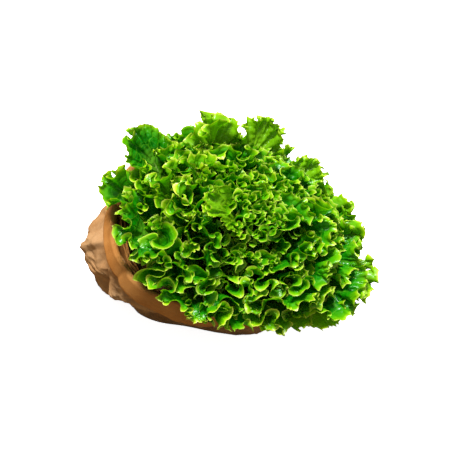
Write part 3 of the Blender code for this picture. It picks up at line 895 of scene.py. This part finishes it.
def placed(plan, points):
    """Turns a blade to its bearing and leans it with the head."""
    turn = plan["bearing"] + plan["turn"] * points[..., 2] / LEAN_HEIGHT
    x = points[..., 0] * np.cos(turn) - points[..., 1] * np.sin(turn)
    y = points[..., 0] * np.sin(turn) + points[..., 1] * np.cos(turn)
    lean_x, lean_y = head_lean(points[..., 2])
    return np.stack([x + lean_x, y + lean_y, points[..., 2]], axis=-1)


def frilled_leaf(plan):
    """Grid of points over one blade, and the marks that its finish reads."""
    place = margin_places(plan)
    edge_across, edge_along, vein_root = blade_outline(plan, place)
    arc = margin_arc(edge_across, edge_along)
    depth = np.array(LEAF_DEPTHS)[None, :]
    across = edge_across[:, None] * depth
    along = vein_root[:, None] + (edge_along - vein_root)[:, None] * depth
    fineness, phases = plan["fineness"], plan["phases"]
    upper = smooth_step((1 - np.abs(place)) / CALM_PART)[:, None] * plan["frill"]
    points = cupped(plan, across, along)
    points = waved(points, arc, depth ** FOLDS["reach"] * plan["frill"], FOLDS, fineness, phases[0:3])
    points = blistered(points, across, along, depth, phases)
    grow = depth ** LOOPS["reach"] * (CALM_LOOPS + (1 - CALM_LOOPS) * upper)
    points = waved(points, arc, grow, LOOPS, fineness, phases[3:6])
    phase, uneven = wave_phase(arc, grow, LOOPS, fineness, phases[3:6])
    flare = FLARE * np.sin(phase) * (FLARE_EVENNESS + (1 - FLARE_EVENNESS) * uneven)
    points = flared(points, flare * depth ** FLARE_REACH * upper * plan["curl"])
    grow = depth ** CURLS["reach"] * upper
    points = waved(points, arc, grow, CURLS, fineness, phases[6:9])
    phase, uneven = wave_phase(arc, grow, CURLS, fineness, phases[6:9])
    points = flared(points, ROLL * np.sin(phase) * uneven * depth ** ROLL_REACH * upper * plan["curl"])
    points = toothed(points, arc, depth ** TOOTH_REACH * upper, fineness, phases)
    shape = points.shape[:2]
    marks = {
        "depth": np.broadcast_to(depth, shape),
        "across": across + plan["tone_and_painted_light"],
        "along": along,
        "tone_and_painted_light": np.full(shape, plan["tone_and_painted_light"]),
    }
    return kept_in_the_bag(placed(plan, points)), marks


def blade_faces(columns, rows):
    """Triangles of one blade: every column from FINE_ROW to the margin, and every second one inside it."""
    index = np.arange(columns * rows).reshape(columns, rows)
    wide, fine = index[::2, :FINE_ROW], index[:, FINE_ROW:]
    triangles = []
    for part in (wide, fine):
        a, b, c, d = part[:-1, :-1], part[1:, :-1], part[1:, 1:], part[:-1, 1:]
        triangles += [np.stack([a, b, c], -1).reshape(-1, 3), np.stack([a, c, d], -1).reshape(-1, 3)]
    low, high, middle = wide[:, -1], fine[::2, 0], fine[1::2, 0]
    triangles += [
        np.stack([low[:-1], middle, high[:-1]], -1),
        np.stack([low[:-1], low[1:], middle], -1),
        np.stack([low[1:], high[1:], middle], -1),
    ]
    return np.concatenate(triangles)


def leaf_piece(name, plans):
    """One object that holds these leaves."""
    points, faces, marks, count = [], [], {"depth": [], "across": [], "along": [], "tone_and_painted_light": []}, 0
    for plan in plans:
        grid, values = frilled_leaf(plan)
        used, triangles = np.unique(blade_faces(*grid.shape[:2]), return_inverse=True)
        points.append(grid.reshape(-1, 3)[used])
        faces.append(triangles.reshape(-1, 3) + count)
        count += len(used)
        for mark, value in values.items():
            marks[mark].append(value.ravel()[used])
    thing = sheet_object(name, np.concatenate(points), np.concatenate(faces))
    for mark, value in marks.items():
        layer = thing.data.attributes.new(mark, "FLOAT", "POINT")
        layer.data.foreach_set("value", np.concatenate(value).astype(np.float32))
    return thing


spiral = leaf_plans()
leaf_pieces = []
for number, first in enumerate(range(0, LEAF_COUNT, LEAVES_A_PIECE)):
    leaf_pieces.append(leaf_piece(f"leaves_whorl_{number + 1}", spiral[first:first + LEAVES_A_PIECE]))
leaf_pieces.append(leaf_piece("leaves_standing", standing_plans()))

# The leaves' finish: a green blade that light shines through, netted with pale veins, blistered between them,
# and yellow-green along its margin. across and along are its flat coordinates, and depth is 1 at the margin.
LEAF_ROUGHNESS = 0.30
LEAF_GLOSS = 0.27
LEAF_THINNESS = 0.35
SHONE_THROUGH = (0.80, 1.25, 0.10, 1)
# Its greens from the pale midrib to the yellow-green margin, with painted shade: the middle of the blade,
# which lies deep in the head between the leaves, is made much darker
LEAF_GREENS_AND_PAINTED_SHADE = (
    (0.0, (0.35, 0.50, 0.12, 1)), (0.06, (0.12, 0.33, 0.015, 1)), (0.50, (0.001, 0.125, 0.0004, 1)),
    (0.76, (0.008, 0.205, 0.0005, 1)), (0.88, (0.058, 0.30, 0.001, 1)), (0.950, (0.145, 0.40, 0.001, 1)),
    (0.980, (0.33, 0.52, 0.002, 1)), (1.0, (0.61, 0.67, 0.10, 1)),
)
# How the tone of a leaf darkens it, and the paler green that the palest leaves get inside their margins. The
# tone differs at random on the spiral leaves; on the standing leaves it is partly painted light, so there
# this paler green is partly a painted highlight
LEAF_TONES = ((0.0, (0.62, 0.82, 0.8, 1)), (0.8, (1.0, 1.0, 1.0, 1)))
PALE_GREEN = (0.22, 0.45, 0.004, 1)
PALE_TONES = (0.72, 1.0, 0.0, 0.60)
PALE_DEPTHS = (0.94, 0.99, 1.0, 0.1)
# Its net of veins: the scale, width and strength of the larger and the smaller meshes, and where they fade
VEIN_GREEN = (0.13, 0.42, 0.012, 1)
VEIN_NETS = ((62, 0.055, 0.55), (190, 0.09, 0.26))
VEIN_DEPTHS = (0.80, 0.96, 1.0, 0.0)
VEIN_BEND_SCALE = 120
VEIN_BEND = (0.004, 0.004, 0)
RELIEF_SCALE = 190
RELIEF_RISE = (0.0, 0.7, 1.0, 0.0)
RELIEF_STRENGTH = 0.8
RELIEF_DEPTH = 0.0012

leaf_finish = bpy.data.materials.new("lettuce_leaf")
leaf_finish.use_nodes = True
tree = leaf_finish.node_tree
tree.nodes.clear()
leaf_out = tree.nodes.new("ShaderNodeOutputMaterial")
skin = new_node(tree, "ShaderNodeBsdfPrincipled", {
    "Roughness": LEAF_ROUGHNESS, "Specular IOR Level": LEAF_GLOSS,
})
flesh = tree.nodes.new("ShaderNodeBsdfTranslucent")
thin = new_node(tree, "ShaderNodeMixShader", {"Fac": LEAF_THINNESS})


def blade_mark(name):
    mark = tree.nodes.new("ShaderNodeAttribute")
    mark.attribute_name = name
    return mark.outputs["Fac"]


def blended(first, second, share, mode="MIX"):
    """A colour mix of two sockets or colours, by a socket or a number."""
    mixer = tree.nodes.new("ShaderNodeMix")
    mixer.data_type = "RGBA"
    mixer.blend_type = mode
    for name, value in (("A", first), ("B", second), ("Factor", share)):
        if isinstance(value, bpy.types.NodeSocket):
            tree.links.new(value, mixer.inputs[name])
        else:
            mixer.inputs[name].default_value = value
    return mixer.outputs["Result"]


def remapped(socket, low, high, new_low, new_high):
    spread = new_node(tree, "ShaderNodeMapRange", {
        "From Min": low, "From Max": high, "To Min": new_low, "To Max": new_high,
    })
    tree.links.new(socket, spread.inputs["Value"])
    return spread.outputs["Result"]


def multiplied(first, second):
    product = tree.nodes.new("ShaderNodeMath")
    product.operation = "MULTIPLY"
    tree.links.new(first, product.inputs[0])
    tree.links.new(second, product.inputs[1])
    return product.outputs["Value"]


def colour_ramp(socket, stops):
    ramp = tree.nodes.new("ShaderNodeValToRGB")
    marks = ramp.color_ramp.elements
    marks[0].position, marks[0].color = stops[0]
    marks[1].position, marks[1].color = stops[-1]
    for position, colour in stops[1:-1]:
        marks.new(position).color = colour
    tree.links.new(socket, ramp.inputs["Fac"])
    return ramp.outputs["Color"]


flat = tree.nodes.new("ShaderNodeCombineXYZ")
tree.links.new(blade_mark("across"), flat.inputs["X"])
tree.links.new(blade_mark("along"), flat.inputs["Y"])
bent = new_node(tree, "ShaderNodeTexNoise", {"Scale": VEIN_BEND_SCALE})
bend_by = new_node(tree, "ShaderNodeVectorMath", {1: VEIN_BEND})
bend_by.operation = "MULTIPLY_ADD"
join(tree, (flat, "Vector", bent, "Vector"), (bent, "Color", bend_by, 0), (flat, "Vector", bend_by, 2))


def vein_net(scale, feature):
    cells = new_node(tree, "ShaderNodeTexVoronoi", {"Scale": scale})
    cells.voronoi_dimensions = "2D"
    cells.feature = feature
    tree.links.new(bend_by.outputs["Vector"], cells.inputs["Vector"])
    return cells.outputs["Distance"]


# The green by depth, with painted shade across the middle of the blade, where it lies deep in the head
green = colour_ramp(blade_mark("depth"), LEAF_GREENS_AND_PAINTED_SHADE)
net_fades = remapped(blade_mark("depth"), *VEIN_DEPTHS)
for scale, width, strength in VEIN_NETS:
    veins = remapped(vein_net(scale, "DISTANCE_TO_EDGE"), 0.0, width, strength, 0.0)
    green = blended(green, VEIN_GREEN, multiplied(veins, net_fades))
# A leaf's tone darkens it, and the palest leaves get a paler green inside their margins: random on the spiral
# leaves, partly painted light on the standing leaves
green = blended(green, colour_ramp(blade_mark("tone_and_painted_light"), LEAF_TONES), 1.0, "MULTIPLY")
pale = multiplied(remapped(blade_mark("tone_and_painted_light"), *PALE_TONES), remapped(blade_mark("depth"), *PALE_DEPTHS))
green = blended(green, PALE_GREEN, pale)
relief = new_node(tree, "ShaderNodeBump", {"Strength": RELIEF_STRENGTH, "Distance": RELIEF_DEPTH})
tree.links.new(remapped(vein_net(RELIEF_SCALE, "SMOOTH_F1"), *RELIEF_RISE), relief.inputs["Height"])
tree.links.new(green, skin.inputs["Base Color"])
tree.links.new(blended(green, SHONE_THROUGH, 1.0, "MULTIPLY"), flesh.inputs["Color"])
join(
    tree,
    (relief, "Normal", skin, "Normal"), (skin, "BSDF", thin, 1), (flesh, "BSDF", thin, 2),
    (thin, "Shader", leaf_out, "Surface"),
)
for piece in leaf_pieces:
    piece.data.materials.append(leaf_finish)
    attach(piece, "root")
    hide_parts("lettuce_leaves")

# The cut stalk: the pale moist end of the plant, cut flat, standing on the bag's floor under the leaves. Its
# solid is shown as it is.
STALK_ROUGHNESS = 0.42
STREAK_SCALE = 160
STALK_COLOURS = ((0.42, 0.50, 0.20, 1), (0.72, 0.76, 0.50, 1))

stalk_finish = bpy.data.materials.new("lettuce_stalk")
stalk_finish.use_nodes = True
tree = stalk_finish.node_tree
stalk_shader = with_inputs(tree.nodes["Principled BSDF"], {"Roughness": STALK_ROUGHNESS})
stalk_place = tree.nodes.new("ShaderNodeTexCoord")
streaks = new_node(tree, "ShaderNodeTexNoise", {"Scale": STREAK_SCALE})
stalk_ramp = tree.nodes.new("ShaderNodeValToRGB")
stalk_ramp.color_ramp.elements[0].color = STALK_COLOURS[0]
stalk_ramp.color_ramp.elements[1].color = STALK_COLOURS[1]
join(
    tree,
    (stalk_place, "Object", streaks, "Vector"), (streaks, "Fac", stalk_ramp, "Fac"),
    (stalk_ramp, "Color", stalk_shader, "Base Color"),
)
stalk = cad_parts["lettuce_stem"]
stalk.data.materials.clear()
stalk.data.materials.append(stalk_finish)
